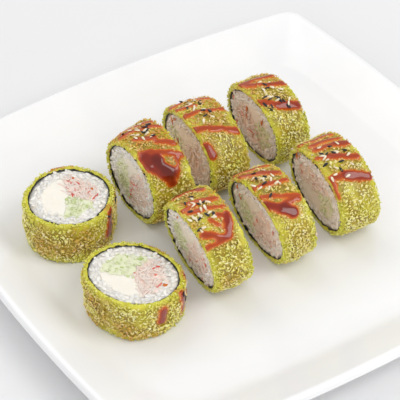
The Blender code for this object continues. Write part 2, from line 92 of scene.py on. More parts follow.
# The slices, as laid on the plate. The fillings in order share the core, parted at the
# hub by the cuts. glaze lists runs of syrup, each from (angle, place) to (angle, place)
# with its width; bare spots let the crumbs show through it; drips lie on the shown cut
# face at (u, v) with their length, width and turn. seeds are the sesame that the solid
# has, over angles and places, and sprinkle adds more. soak is how far glaze has tinted
# the cut faces, and browned how much darker than the others the crumbs are fried.
SLICES = {
    "a": dict(
        pose="stand", x=-74.4, y=37.4, yaw=38.7, face=(47.0, 45.0), far=(46.7, 44.0),
        length=24.0, slope=-0.8, hub=(2.0, 1.0), cuts=(-86, 34, 194),
        order=("crab", "cream_cheese", "greens"),
        glaze=[
            ((-95, 0.98), (-98, 0.6), 4.6), ((-98, 0.6), (-101, 0.42), 5.4),
            ((36, 0.98), (31, 0.55), 4.0), ((44, 0.97), (22, 0.97), 3.0),
        ],
        drips=[(15.4, 3.8, 3.2, 2.2, 0.3), (9.6, -8.8, 2.6, 2.0, 1.2)],
        seeds=((-70, -10), (0.9, 1.0), 4), sprinkle=[((-95, 10), (0.86, 0.97), 5)], soak=0.0, browned=0.2,
    ),
    "b": dict(
        pose="stand", x=-75.4, y=-27.3, yaw=13.1, face=(46.4, 50.4), far=(43.8, 47.5),
        length=22.2, slope=-6.8, hub=(-1.0, -1.0), cuts=(-120, 15, 135),
        order=("crab", "greens", "cream_cheese"),
        glaze=[
            ((-70, 0.98), (-66, 0.78), 3.4), ((-66, 0.78), (-62, 0.32), 5.0),
            ((-40, 1.0), (-44, 0.35), 4.6), ((-102, 0.76), (-103, 0.5), 5.2),
            ((24, 0.93), (2, 0.9), 3.0),
        ],
        drips=[(6.6, -15.8, 4.6, 3.4, 0.5)],
        seeds=((-60, -15), (0.85, 1.0), 4), sprinkle=[((-75, -20), (0.6, 0.95), 5)], soak=0.0, browned=0.15,
    ),
    "c": dict(
        pose="lie", x=-29.8, y=32.3, yaw=2.6, face=(45.0, 44.9), far=(50.1, 48.2),
        length=21.7, lean=2.0, hub=(-2.0, 2.0), cuts=(-110, 50, 120),
        order=("crab", "cream_cheese", "greens"),
        glaze=[
            ((142, 0.85), (131, 0.6), 2.4), ((131, 0.6), (112, 0.06), 2.8),
            ((121, 0.86), (106, 0.33), 3.0), ((106, 0.33), (96, 0.06), 2.8),
            ((96, 0.72), (84, 0.36), 3.4), ((78, 0.4), (66, 0.06), 3.0),
            ((73, 0.86), (68, 0.62), 3.6), ((68, 0.62), (49, 0.04), 3.2),
            ((66, 0.86), (54, 0.84), 6.4), ((54, 0.84), (26, 0.52), 5.4),
            ((47, 0.2), (30, 0.38), 4.0), ((55, 0.66), (36, 0.5), 8.0),
        ],
        bare=[((51, 0.42), (44, 0.3), 2.6)],
        drips=[(-19.5, 8.5, 4.0, 1.6, 1.2)],
        seeds=((84, 122), (0.3, 0.8), 10), sprinkle=[((85, 135), (0.2, 0.62), 12)], soak=0.1, browned=0.3,
    ),
    "d": dict(
        pose="lie", x=8.7, y=37.6, yaw=-2.8, face=(53.4, 41.1), far=(51.8, 40.7),
        length=22.2, lean=0.5, hub=(-3.0, 1.0), cuts=(-120, 60, 150),
        order=("crab", "cream_cheese", "greens"),
        glaze=[
            ((132, 0.96), (139, 0.55), 3.2), ((139, 0.55), (120, 0.08), 3.0),
            ((116, 0.97), (112, 0.5), 2.8), ((98, 0.95), (97, 0.57), 3.0),
            ((97, 0.57), (89, 0.05), 2.8), ((74, 0.98), (63, 0.37), 3.4),
            ((63, 0.37), (53, 0.04), 3.6), ((50, 0.94), (36, 0.88), 4.6),
        ],
        drips=[(-16.5, 10.2, 6.4, 2.8, 1.9), (-10.8, -1.0, 5.6, 1.8, 1.7), (-13.2, 12.5, 3.2, 2.0, 0.6)],
        seeds=((76, 112), (0.35, 0.75), 9), sprinkle=[((88, 135), (0.25, 0.8), 10)], soak=0.5, browned=0.25,
    ),
    "e": dict(
        pose="lie", x=47.8, y=36.1, yaw=0.2, face=(49.0, 42.9), far=(44.9, 42.6),
        length=20.5, lean=4.1, hub=(1.0, 2.0), cuts=(-70, 30, 130),
        order=("greens", "cream_cheese", "crab"),
        glaze=[
            ((117, 0.98), (113, 0.1), 3.6), ((109, 0.87), (97, 0.5), 3.2),
            ((94, 0.42), (86, 0.05), 3.8), ((74, 0.97), (60, 0.6), 3.2),
            ((60, 0.6), (48, 0.08), 4.8),
        ],
        drips=[(-17.0, -8.5, 5.8, 3.0, 1.4), (-5.8, 7.6, 5.0, 2.8, 1.3), (8.6, 8.4, 6.0, 2.4, 1.2)],
        seeds=((52, 76), (0.2, 0.95), 10), sprinkle=[((60, 112), (0.3, 0.85), 12)], soak=0.35, browned=0.05,
    ),
    "f": dict(
        pose="lie", x=-31.8, y=-27.0, yaw=-2.5, face=(49.8, 45.1), far=(50.1, 48.4),
        length=20.5, lean=8.0, hub=(-3.0, 0.0), cuts=(-110, 60, 130),
        order=("crab", "cream_cheese", "greens"),
        glaze=[
            ((132, 0.78), (133, 0.47), 5.0), ((133, 0.47), (115, 0.2), 4.2),
            ((106, 0.75), (91, 0.05), 2.6), ((97, 0.95), (96, 0.6), 2.4),
            ((90, 0.84), (77, 0.05), 2.6), ((70, 0.3), (64, 0.13), 3.6),
            ((66, 0.13), (52, 0.26), 5.0), ((52, 0.26), (45, 0.4), 5.0),
            ((57, 0.88), (44, 0.5), 3.8), ((44, 0.45), (43, 0.95), 3.0),
            ((70, 0.55), (58, 0.42), 2.4),
        ],
        bare=[((56, 0.5), (52, 0.44), 1.8), ((50, 0.92), (47, 0.74), 1.6)],
        drips=[(-8.6, 14.6, 3.4, 1.8, 1.0)],
        seeds=((58, 114), (0.4, 0.9), 11), sprinkle=[((58, 105), (0.3, 0.9), 15)], soak=0.15, browned=-0.15,
    ),
    "g": dict(
        pose="lie", x=7.4, y=-26.6, yaw=-1.8, face=(52.4, 41.7), far=(50.2, 42.7),
        length=19.3, lean=5.5, hub=(-4.0, 1.0), cuts=(-100, 70, 150),
        order=("crab", "cream_cheese", "greens"),
        glaze=[
            ((142, 0.92), (128, 0.54), 3.8), ((128, 0.54), (127, 0.12), 3.2),
            ((124, 0.97), (98, 0.1), 3.2), ((92, 0.95), (85, 0.08), 2.8),
            ((78, 0.95), (60, 0.08), 2.6), ((66, 0.97), (48, 0.5), 5.0),
            ((54, 0.62), (46, 0.44), 7.0), ((59, 0.54), (57, 0.13), 3.2),
        ],
        drips=[(-15.0, 6.0, 6.0, 2.2, 1.6), (-17.0, 10.5, 4.0, 2.0, 1.2)],
        seeds=((80, 108), (0.35, 0.95), 9), sprinkle=[((74, 118), (0.2, 0.85), 8)], soak=0.25, browned=0.0,
    ),
    "h": dict(
        pose="lie", x=45.6, y=-26.6, yaw=-4.1, face=(52.0, 43.7), far=(51.2, 45.2),
        length=21.9, lean=4.9, hub=(-2.0, 0.0), cuts=(-70, 30, 190),
        order=("greens", "crab", "cream_cheese"),
        glaze=[
            ((128, 0.94), (123, 0.15), 3.2), ((114, 0.8), (109, 0.12), 3.0),
            ((104, 0.8), (99, 0.33), 3.2), ((99, 0.33), (95, 0.05), 4.2),
            ((90, 0.92), (85, 0.65), 2.6), ((85, 0.65), (71, 0.08), 3.6),
            ((59, 0.88), (56, 0.6), 3.6), ((56, 0.6), (44, 0.09), 5.0),
            ((60, 0.95), (50, 0.93), 2.8), ((50, 0.95), (34, 0.96), 2.0),
        ],
        drips=[(-18.4, 10.6, 5.4, 2.6, 1.4), (-14.0, 14.0, 4.0, 2.0, 0.8)],
        seeds=((52, 92), (0.5, 0.95), 9), sprinkle=[((66, 110), (0.25, 0.9), 14)], soak=0.3, browned=-0.15,
    ),
}


# Shared tools


def linear(code):
    """A colour from its sRGB hex code, in the linear values that shaders take."""
    channels = [int(code[i : i + 2], 16) / 255 for i in (1, 3, 5)]
    curve = [c / 12.92 if c <= 0.04045 else ((c + 0.055) / 1.055) ** 2.4 for c in channels]
    return (*curve, 1.0)


def per_metre(size):
    """The texture scale that gives a pattern features of that size in millimetres."""
    return 1000.0 / size


def add(tree, kind, inputs=None, stops=None, **settings):
    """A node with its settings, its input values or the sockets that feed them, and a ramp's stops."""
    made = tree.nodes.new(kind)
    for name, value in settings.items():
        setattr(made, name, value)
    for socket, value in (inputs or {}).items():
        if isinstance(value, bpy.types.NodeSocket):
            tree.links.new(value, made.inputs[socket])
        else:
            made.inputs[socket].default_value = value
    if stops:
        ramp = made.color_ramp.elements
        while len(ramp) < len(stops):
            ramp.new(1.0)
        for element, (position, code) in zip(ramp, stops):
            element.position = position
            element.color = linear(code)
    return made


def new_surface(name):
    """A material with its Principled shader, and its tree."""
    material = bpy.data.materials.new(name)
    material.use_nodes = True
    tree = material.node_tree
    return material, tree, tree.nodes["Principled BSDF"]


def set_values(shader, **values):
    """Plain values on the shader's own sockets."""
    for name, value in values.items():
        shader.inputs[name.replace("_", " ")].default_value = value


def lumps(points, size, seed):
    """Smooth noise from -1 to 1 with lumps of that size, at points in millimetres."""
    scaled = np.asarray(points, float) / size
    cell = np.floor(scaled).astype(np.int64)
    blend = scaled - cell
    blend = blend * blend * (3 - 2 * blend)
    total = np.zeros(scaled.shape[:-1])
    for corner in range(8):
        step = np.array([corner & 1, corner >> 1 & 1, corner >> 2 & 1])
        at = cell + step
        key = at[..., 0] * 73856093 ^ at[..., 1] * 19349663 ^ at[..., 2] * 83492791
        key = (key ^ seed * 2654435761) & 0xFFFFFFFF
        key = (key ^ key >> 13) * 1274126177 & 0xFFFFFFFF
        key = (key ^ key >> 16) & 0xFFFF
        weight = np.prod(np.where(step == 1, blend, 1 - blend), axis=-1)
        total += (key / 32767.5 - 1) * weight
    return total


def flat_lumps(x, y, size, seed):
    """The same noise over a flat face."""
    return lumps(np.stack([x, y, np.zeros_like(x) + 0.37 * size], -1), size, seed)


def add_piece(name, parts, materials, replaced=(), smooth=True):
    """One mesh piece from parts, each (points, triangles, material number, marks), in millimetres.
    marks maps a point attribute's name to its values."""
    points = np.concatenate([part[0] for part in parts]) * MM
    starts = np.cumsum([0] + [len(part[0]) for part in parts[:-1]])
    faces = np.concatenate([part[1] + start for part, start in zip(parts, starts)])
    mesh = bpy.data.meshes.new(name)
    mesh.from_pydata(points, [], faces)
    for material in materials:
        mesh.materials.append(material)
    numbers = np.concatenate([np.full(len(part[1]), part[2], np.int32) for part in parts])
    mesh.polygons.foreach_set("material_index", numbers)
    for mark in sorted({key for part in parts for key in part[3]}):
        values = [part[3].get(mark, np.zeros(len(part[0]))) for part in parts]
        stored = mesh.attributes.new(mark, "FLOAT", "POINT")
        stored.data.foreach_set("value", np.concatenate(values).astype(np.float32))
    if smooth:
        mesh.shade_smooth()
    obj = bpy.data.objects.new(name, mesh)
    bpy.context.scene.collection.objects.link(obj)
    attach(obj, "root")
    if replaced:
        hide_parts(*replaced)
    return obj


def grid_faces(rows, columns, wrap_rows=False, wrap_columns=False):
    """Triangles over a grid of points listed row by row."""
    r = np.arange(rows if wrap_rows else rows - 1)
    c = np.arange(columns if wrap_columns else columns - 1)
    r, c = np.meshgrid(r, c, indexing="ij")
    here = r * columns + c
    right = r * columns + (c + 1) % columns
    over = (r + 1) % rows * columns + c
    across = (r + 1) % rows * columns + (c + 1) % columns
    first = np.stack([here, right, across], -1).reshape(-1, 3)
    second = np.stack([here, across, over], -1).reshape(-1, 3)
    return np.concatenate([first, second])


def copies(shape_points, shape_faces, middles, axes):
    """Copies of a small shape. axes holds each copy's three edge vectors, sizes included."""
    count = len(middles)
    points = np.einsum("pk,nkx->npx", shape_points, axes) + middles[:, None, :]
    faces = shape_faces[None] + (np.arange(count) * len(shape_points))[:, None, None]
    return points.reshape(-1, 3), faces.reshape(-1, 3)


# A slice's shape


def section_size(slice_, place):
    """Width and height of the slice at that place along it."""
    width = slice_["far"][0] + (slice_["face"][0] - slice_["far"][0]) * place
    height = slice_["far"][1] + (slice_["face"][1] - slice_["far"][1]) * place
    return width, height


def squared_ellipse(half_width, half_height, angle):
    """A pressed roll's section: an ellipse with slightly squared shoulders."""
    c, s = np.cos(angle), np.sin(angle)
    reach = (np.abs(c) ** SECTION_POWER + np.abs(s) ** SECTION_POWER) ** (-1 / SECTION_POWER)
    return half_width * reach * c, half_height * reach * s


def on_plate(slice_, u, v, place, proud=0.0):
    """From a slice's own frame to the plate's; proud is beyond the nearer cut face."""
    u, v, place, proud = np.broadcast_arrays(*(np.asarray(x, float) for x in (u, v, place, proud)))
    lie = slice_["pose"] == "lie"
    if lie:
        along = slice_["length"] * (place - 0.5) + v * math.tan(math.radians(slice_["lean"]))
    else:
        along = place * (slice_["length"] + u * math.tan(math.radians(slice_["slope"])))
    along = along + np.where(place > 0.5, proud, -proud)
    yaw = math.radians(slice_["yaw"])
    ahead = np.array([math.cos(yaw), math.sin(yaw), 0])
    left = np.array([-math.sin(yaw), math.cos(yaw), 0])
    up = np.array([0, 0, 1.0])
    foot = np.array([slice_["x"], slice_["y"], WELL_FLOOR + GAP])
    if lie:
        middle = section_size(slice_, place)[1] / 2 - FLAT_SPOT
        rise = np.maximum(v + middle, -GAP * 0.6)
        return foot - left * u[..., None] + up * rise[..., None] - ahead * along[..., None]
    along = np.maximum(along, -GAP * 0.6)
    return foot + ahead * u[..., None] + left * v[..., None] + up * along[..., None]


def crag(slice_, angle, place):
    """The crust's broad lumps, as in the solid."""
    a, b, c = slice_["waves"]
    wave = np.sin(5 * angle + a) + np.sin(9 * angle - 7 * place + b)
    wave = wave + np.sin(3 * angle + 11 * place + c)
    return CRAG * wave / 2


def end_rounding(slice_, place):
    """How far the crust falls away towards its rims."""
    reach = 1.6
    from_end = np.minimum(place, 1 - place) * slice_["length"]
    inward = np.clip((reach - from_end) / reach, 0, 1)
    return (1 - np.sqrt(1 - inward**2)) * 0.9


def on_crust(slice_, angle, place, lift=0.0, lumpy=1.0):
    """Points on the crust's outer face, or lift above it; lumpy is how far its lumps show."""
    width, height = section_size(slice_, place)
    fuller = 1 + BARREL * 4 * place * (1 - place)
    rough = crag(slice_, angle, place) * lumpy + lift - end_rounding(slice_, place)
    u, v = squared_ellipse(width * fuller / 2 + rough, height * fuller / 2 + rough, angle)
    return on_plate(slice_, u, v, place)


def crust_frame(slice_, angle, place):
    """A point on the crust with its directions round the slice, along it and outwards."""
    at = on_crust(slice_, angle, place)
    outward = on_crust(slice_, angle, place, 1.0) - at
    around = on_crust(slice_, angle + 0.02, place) - at
    outward /= np.linalg.norm(outward, axis=-1, keepdims=True)
    around -= outward * np.sum(outward * around, -1, keepdims=True)
    around /= np.linalg.norm(around, axis=-1, keepdims=True)
    along = np.cross(outward, around)
    return at, around, along, outward


# Materials


def glazed_porcelain():
    """Feldspar porcelain, slip cast and dipped in a clear gloss glaze: a cool white body
    under a glassy skin that pools a little, so reflections of the lamps waver."""
    material, tree, shader = new_surface("glazed_porcelain")
    where = add(tree, "ShaderNodeTexCoord")
    pooled = add(
        tree, "ShaderNodeTexNoise",
        {"Vector": where.outputs["Object"], "Scale": per_metre(38), "Detail": 2.0},
    )
    body = add(
        tree, "ShaderNodeValToRGB", {"Fac": pooled.outputs["Fac"]},
        stops=[(0.3, "#f3f3f4"), (0.7, "#f8f8f8")],
    )
    tree.links.new(body.outputs["Color"], shader.inputs["Base Color"])
    waver = add(
        tree, "ShaderNodeBump",
        {"Strength": 0.12, "Distance": 0.0004, "Height": pooled.outputs["Fac"]},
    )
    tree.links.new(waver.outputs["Normal"], shader.inputs["Normal"])
    set_values(shader, Roughness=0.16, IOR=1.5, Coat_Weight=0.35, Coat_Roughness=0.05)
    return material


def fried_crumb():
    """Dried bread crumb tinted green and fried in oil: crisp flakes whose tone drifts at
    random from olive to pale cream, with painted light on top: each flake is paler on its
    upper side and the crumbs that stand higher are paler, as painted shade in the hollows.
    Fresher and greener at the cut rims, browner where the oil was hotter, orange where
    glaze has soaked in."""
    material, tree, shader = new_surface("fried_crumb")
    where = add(tree, "ShaderNodeTexCoord")
    tone = add(tree, "ShaderNodeAttribute", attribute_name="tone")
    grit = add(
        tree, "ShaderNodeTexNoise",
        {"Vector": where.outputs["Object"], "Scale": per_metre(0.5), "Detail": 2.0},
    )
    # The tone attribute carries painted light: paler on each crumb's upper side and on high crumbs, darker
    # low down as painted shade.
    mottle_and_painted_light = add(
        tree, "ShaderNodeMath", {0: grit.outputs["Fac"], 1: 0.3, 2: tone.outputs["Fac"]},
        operation="MULTIPLY_ADD",
    )
    colour = add(
        tree, "ShaderNodeValToRGB", {"Fac": mottle_and_painted_light.outputs["Value"]},
        stops=[(0.1, "#9c821e"), (0.36, "#dfce46"), (0.62, "#f7ee8e"), (1.0, "#fffad2")],
    ).outputs["Color"]
    for mark, code in (("fresh", "#dbdd34"), ("fry", "#d8953a"), ("stain", "#dc8434")):
        amount = add(tree, "ShaderNodeAttribute", attribute_name=mark)
        colour = add(
            tree, "ShaderNodeMix",
            {"Factor": amount.outputs["Fac"], "A": colour, "B": linear(code)},
            data_type="RGBA",
        ).outputs["Result"]
    tree.links.new(colour, shader.inputs["Base Color"])
    set_values(shader, Roughness=0.45, IOR=1.46, Coat_Weight=0.2, Coat_Roughness=0.2)
    return material


def fried_batter():
    """Wet batter under the crumb, set by frying: a smooth, oily, yellow-green skin where
    it swelled out at the cut rims; away from them its olive is darkened as painted shade
    in the hollows between the crumbs."""
    material, tree, shader = new_surface("fried_batter")
    where = add(tree, "ShaderNodeTexCoord")
    rim = add(tree, "ShaderNodeAttribute", attribute_name="fresh")
    patch = add(
        tree, "ShaderNodeTexNoise",
        {"Vector": where.outputs["Object"], "Scale": per_metre(4), "Detail": 3.0},
    )
    # Painted shade: the batter away from the rims is darkened so the hollows between the crumbs read dark.
    painted_hollow_shade = add(
        tree, "ShaderNodeValToRGB", {"Fac": patch.outputs["Fac"]},
        stops=[(0.3, "#8c7418"), (0.6, "#b09826"), (0.75, "#c8b034")],
    )
    skin = add(
        tree, "ShaderNodeValToRGB", {"Fac": patch.outputs["Fac"]},
        stops=[(0.32, "#c2b82c"), (0.55, "#d7d239"), (0.72, "#e8e05c")],
    )
    colour = add(
        tree, "ShaderNodeMix",
        {"Factor": rim.outputs["Fac"], "A": painted_hollow_shade.outputs["Color"], "B": skin.outputs["Color"]},
        data_type="RGBA",
    )
    tree.links.new(colour.outputs["Result"], shader.inputs["Base Color"])
    fine = add(
        tree, "ShaderNodeTexNoise",
        {"Vector": where.outputs["Object"], "Scale": per_metre(0.8), "Detail": 2.0},
    )
    blister = add(
        tree, "ShaderNodeBump",
        {"Strength": 0.6, "Distance": 0.0003, "Height": fine.outputs["Fac"]},
    )
    tree.links.new(blister.outputs["Normal"], shader.inputs["Normal"])
    set_values(shader, Roughness=0.36, IOR=1.46, Coat_Weight=0.3, Coat_Roughness=0.15)
    return material


def toasted_nori():
    """Pressed and toasted laver: near-black green, matt, with a papery grain."""
    material, tree, shader = new_surface("toasted_nori")
    where = add(tree, "ShaderNodeTexCoord")
    grain = add(
        tree, "ShaderNodeTexNoise",
        {"Vector": where.outputs["Object"], "Scale": per_metre(0.9), "Detail": 4.0},
    )
    leaf = add(
        tree, "ShaderNodeValToRGB", {"Fac": grain.outputs["Fac"]},
        stops=[(0.35, "#12140f"), (0.7, "#2b2d20")],
    )
    tree.links.new(leaf.outputs["Color"], shader.inputs["Base Color"])
    set_values(shader, Roughness=0.42, IOR=1.45)
    return material


def cooked_food(name, stops, patch_size, grain_size, depth, **values):
    """A moist cooked food: a colour that drifts in patches, a fine wet relief, and light
    that soaks in a little, so that nothing reads as chalk. Glaze that ran over the cut
    soaks in as an amber tint."""
    material, tree, shader = new_surface(name)
    where = add(tree, "ShaderNodeTexCoord")
    tone = add(tree, "ShaderNodeAttribute", attribute_name="tone")
    soak = add(tree, "ShaderNodeAttribute", attribute_name="soak")
    patch = add(
        tree, "ShaderNodeTexNoise",
        {"Vector": where.outputs["Object"], "Scale": per_metre(patch_size), "Detail": 3.0},
    )
    mixed = add(
        tree, "ShaderNodeMath", {0: patch.outputs["Fac"], 1: 0.45, 2: tone.outputs["Fac"]},
        operation="MULTIPLY_ADD",
    )
    colour = add(tree, "ShaderNodeValToRGB", {"Fac": mixed.outputs["Value"]}, stops=stops)
    tinted = add(
        tree, "ShaderNodeMix",
        {"Factor": soak.outputs["Fac"], "A": colour.outputs["Color"], "B": linear("#efb87a")},
        data_type="RGBA",
    )
    tree.links.new(tinted.outputs["Result"], shader.inputs["Base Color"])
    grain = add(
        tree, "ShaderNodeTexNoise",
        {"Vector": where.outputs["Object"], "Scale": per_metre(grain_size), "Detail": 3.0},
    )
    wet = add(
        tree, "ShaderNodeBump",
        {"Strength": 0.5, "Distance": depth * MM, "Height": grain.outputs["Fac"]},
    )
    tree.links.new(wet.outputs["Normal"], shader.inputs["Normal"])
    set_values(shader, IOR=1.4, **values)
    return material


def soy_glaze():
    """Sweet soy boiled down with starch: a clear syrup, amber where it is thin, oxblood
    where it is deep, with a wet mirror skin."""
    material, tree, shader = new_surface("soy_glaze")
    depth = add(tree, "ShaderNodeAttribute", attribute_name="depth")
    syrup = add(
        tree, "ShaderNodeValToRGB", {"Fac": depth.outputs["Fac"]},
        stops=[(0.0, "#dc8628"), (0.35, "#c05012"), (0.65, "#8a2408"), (1.0, "#4c0a04")],
    )
    tree.links.new(syrup.outputs["Color"], shader.inputs["Base Color"])
    set_values(shader, Roughness=0.1, IOR=1.47, Coat_Weight=0.2, Coat_Roughness=0.03)
    return material


def sesame_hull(name, pale, deep, roughness):
    """Sesame in its hull: a waxy, finely pitted skin, darker at the pointed end."""
    material, tree, shader = new_surface(name)
    where = add(tree, "ShaderNodeTexCoord")
    tone = add(tree, "ShaderNodeAttribute", attribute_name="tone")
    skin = add(
        tree, "ShaderNodeValToRGB", {"Fac": tone.outputs["Fac"]}, stops=[(0.0, deep), (0.8, pale)]
    )
    tree.links.new(skin.outputs["Color"], shader.inputs["Base Color"])
    pits = add(
        tree, "ShaderNodeTexNoise",
        {"Vector": where.outputs["Object"], "Scale": per_metre(0.35), "Detail": 1.0},
    )
    bump = add(
        tree, "ShaderNodeBump",
        {"Strength": 0.3, "Distance": 0.00008, "Height": pits.outputs["Fac"]},
    )
    tree.links.new(bump.outputs["Normal"], shader.inputs["Normal"])
    set_values(shader, Roughness=roughness, IOR=1.46)
    return material


# Plate


def bowed_square(inset, corner, height, side_points=36, corner_points=9):
    """The plate's outline taken in by inset, with that corner radius, at that height."""
    half = PLATE_SIDE / 2 - inset
    bow = PLATE_BOW * half / (PLATE_SIDE / 2)
    radius = (half * half + bow * bow) / (2 * bow)
    middle = half + bow - radius
    reach = radius - corner
    corner_at = (middle + math.sqrt(2 * reach * reach - middle * middle)) / 2
    turn = math.atan2(corner_at, corner_at - middle)
    side = np.linspace(-turn, turn, side_points)
    bend = np.linspace(turn, math.pi / 2 - turn, corner_points + 2)[1:-1]
    x = np.concatenate([middle + radius * np.cos(side), corner_at + corner * np.cos(bend)])
    y = np.concatenate([radius * np.sin(side), corner_at + corner * np.sin(bend)])
    loop = []
    for quarter in range(4):
        c, s = round(math.cos(quarter * math.pi / 2)), round(math.sin(quarter * math.pi / 2))
        loop.append(np.stack([x * c - y * s, x * s + y * c, np.full_like(x, height)], -1))
    return np.concatenate(loop)


def smooth_profile(knots, steps):
    """A rounded run of (inset, corner, height) through the knots, cut at steps a span."""
    knots = np.array(knots, float)
    padded = np.vstack([2 * knots[0] - knots[1], knots, 2 * knots[-1] - knots[-2]])
    made = []
    for i in range(1, len(padded) - 2):
        before, start, end, after = padded[i - 1 : i + 3]
        for t in np.arange(steps) / steps:
            slope_in, slope_out = (end - before) * 0.42, (after - start) * 0.42
            made.append(
                (2 * t**3 - 3 * t**2 + 1) * start
                + (t**3 - 2 * t**2 + t) * slope_in
                + (3 * t**2 - 2 * t**3) * end
                + (t**3 - t**2) * slope_out
            )
    made.append(knots[-1])
    return made


def make_plate(glaze):
    """The plate in one skin: well, raised rim, underside and foot ring."""
    under = WELL_FLOOR - FLOOR_THICKNESS
    rise = PLATE_HEIGHT - WELL_FLOOR
    foot_inner = FOOT_OUTER + FOOT_WIDTH
    upper = smooth_profile(
        [
            (WELL_EDGE + 14, 44, WELL_FLOOR),
            (WELL_EDGE + 6, 40, WELL_FLOOR),
            (WELL_EDGE - 2, 36, WELL_FLOOR + 0.09 * rise),
            (WELL_EDGE - 10, 30, WELL_FLOOR + 0.40 * rise),
            (PLATE_RIM, 13, PLATE_HEIGHT - 1.0),
            (PLATE_RIM * 0.5, 11, PLATE_HEIGHT - 0.05),
            (0.7, 9.6, PLATE_HEIGHT - 0.6),
            (0.0, PLATE_CORNER, PLATE_HEIGHT - PLATE_RIM * 0.5),
            (1.6, 10, PLATE_HEIGHT - PLATE_RIM),
            (WELL_EDGE - 2, 30, under + 2.2),
            (FOOT_OUTER - 1.2, 34, under),
        ],
        4,
    )
    lower = [
        (FOOT_OUTER - 0.3, 34.8, 0.5),
        (FOOT_OUTER + 0.5, 35, 0.0),
        (foot_inner - 0.5, 36, 0.0),
        (foot_inner + 0.3, 36.2, 0.5),
        (foot_inner + 1.2, 37, under),
    ]
    loops = [bowed_square(*knot) for knot in [*upper, *lower]]
    points = np.concatenate(loops)
    count = len(loops[0])
    faces = grid_faces(len(loops), count, wrap_columns=True)
    middles = np.array([[0, 0, WELL_FLOOR], [0, 0, under]])
    ring = np.arange(count)
    turn = np.roll(ring, -1)
    top = np.stack([np.full(count, len(points)), turn, ring], -1)
    last = (len(loops) - 1) * count
    bottom = np.stack([np.full(count, len(points) + 1), last + ring, last + turn], -1)
    points = np.concatenate([points, middles])
    faces = np.concatenate([faces[:, ::-1], top[:, ::-1], bottom[:, ::-1]])
    return add_piece("porcelain_plate", [(points, faces, 0, {})], [glaze], ["plate"])


# Glaze


def off_run(slice_, x, y, start, end):
    """Distance of points on the unrolled crust from a straight run on it."""
    radius = mean_radius(slice_)
    x0, x1 = math.radians(start[0]) * radius, math.radians(end[0]) * radius
    y0, y1 = start[1] * slice_["length"], end[1] * slice_["length"]
    run = np.array([x1 - x0, y1 - y0])
    t = np.clip(((x - x0) * run[0] + (y - y0) * run[1]) / (run @ run), 0, 1)
    return np.hypot(x - x0 - t * run[0], y - y0 - t * run[1])


def mean_radius(slice_):
    """Radius of the round slice with the same middle size."""
    size = section_size(slice_, 0.5)
    return (size[0] + size[1]) / 4


def glaze_depth(slice_, angle, place):
    """Depth of the glaze over the crust there; below zero is how far off its edge."""
    x = angle * mean_radius(slice_)
    y = place * slice_["length"]
    seed = slice_["number"] * 31
    wander = 0.55 * flat_lumps(x, y, 4.2, seed + 1) + 0.5 * flat_lumps(x, y, 1.5, seed + 2)
    depth = np.full(np.shape(x), -3.0)
    for start, end, width in slice_["glaze"]:
        away = off_run(slice_, x, y, start, end) + wander
        across = 1 - (away / (width / 2)) ** 4
        height = 0.3 + 0.09 * width
        outside = (width / 2 - away) * 0.5
        here = np.where(across > 0, height * np.sqrt(np.abs(across)), outside)
        depth = np.maximum(depth, here)
    for start, end, width in slice_.get("bare", []):
        away = off_run(slice_, x, y, start, end) + wander * 0.6
        depth = np.minimum(depth, (away - width / 2) * 0.8)
    return depth


def levelled(field, passes=2):
    """A field on the crust's grid after the syrup has found its level."""
    for _ in range(passes):
        padded = np.pad(field, ((0, 0), (1, 1)), mode="edge")
        sides = np.roll(field, 1, 0) + np.roll(field, -1, 0) + padded[:, 2:] + padded[:, :-2]
        field = field * 0.4 + sides * 0.15
    return field


def make_glaze(key, slice_, syrup):
    """The glaze as closed drops: a rounded top that dives under the crumbs at its edges."""
    columns = round(slice_["length"] * 0.97 / GLAZE_STEP)
    rows = round(2 * math.pi * mean_radius(slice_) / GLAZE_STEP)
    angle = np.linspace(-math.pi, math.pi, rows, endpoint=False) + 0.5 * math.pi
    place = np.linspace(0.015, 0.985, columns)
    angle, place = np.meshgrid(angle, place, indexing="ij")
    shifted = np.where(angle > math.pi, angle - 2 * math.pi, angle)
    depth = levelled(glaze_depth(slice_, shifted, place))
    rise = 0.25
    lift = np.where(depth > 0, depth + rise, rise + depth * 2.5)
    lift = np.maximum(lift, -0.5)
    lumpy = np.where(depth > 0.25, 0.5, 1.0)
    top = on_crust(slice_, shifted, place, lift, levelled(lumpy)).reshape(-1, 3)
    under = on_crust(slice_, shifted, place, -0.7).reshape(-1, 3)
    faces = grid_faces(rows, columns, wrap_rows=True)
    wet = depth.reshape(-1)
    kept = faces[wet[faces].max(1) > -0.25]
    if len(kept) == 0:
        return
    edges = np.concatenate([kept[:, [0, 1]], kept[:, [1, 2]], kept[:, [2, 0]]])
    keyed = edges[:, 0] * len(top) + edges[:, 1]
    back = edges[:, 1] * len(top) + edges[:, 0]
    rim = edges[~np.isin(keyed, back)]
    count = len(top)
    walls = np.concatenate(
        [
            np.stack([rim[:, 1], rim[:, 0], rim[:, 0] + count], -1),
            np.stack([rim[:, 1], rim[:, 0] + count, rim[:, 1] + count], -1),
        ]
    )
    faces = np.concatenate([kept, kept[:, ::-1] + count, walls])
    used, index = np.unique(faces, return_inverse=True)
    points = np.concatenate([top, under])[used]
    shade = np.clip(np.concatenate([wet, wet * 0])[used] / 1.15, 0, 1)
    faces = index.reshape(-1, 3)
    parts = [(points, faces[:, ::-1], 0, {"depth": shade}), *glaze_drips(slice_)]
    add_piece(f"soy_glaze_{key}", parts, [syrup])


def glaze_drips(slice_):
    """Flat drops of glaze that ran over the edge onto the shown cut face."""
    shape = grain_shape(14, 7, taper=0.5)
    for u, v, long, wide, turn in slice_["drips"]:
        at = (np.array([value]) for value in (u, v, -0.05))
        sizes = np.array([[long, wide, 0.9]])
        spin, tilt = np.array([turn]), np.array([0.0])
        points, faces = face_bits(slice_, 1.0, shape, *at, spin, tilt, sizes)
        rough = 0.25 * lumps(points, 1.4, slice_["number"] + 71)
        points = points + rough[:, None] * np.array([0, 1, 1])
        yield points, faces, 0, {"depth": np.full(len(points), 0.2)}


# Crust


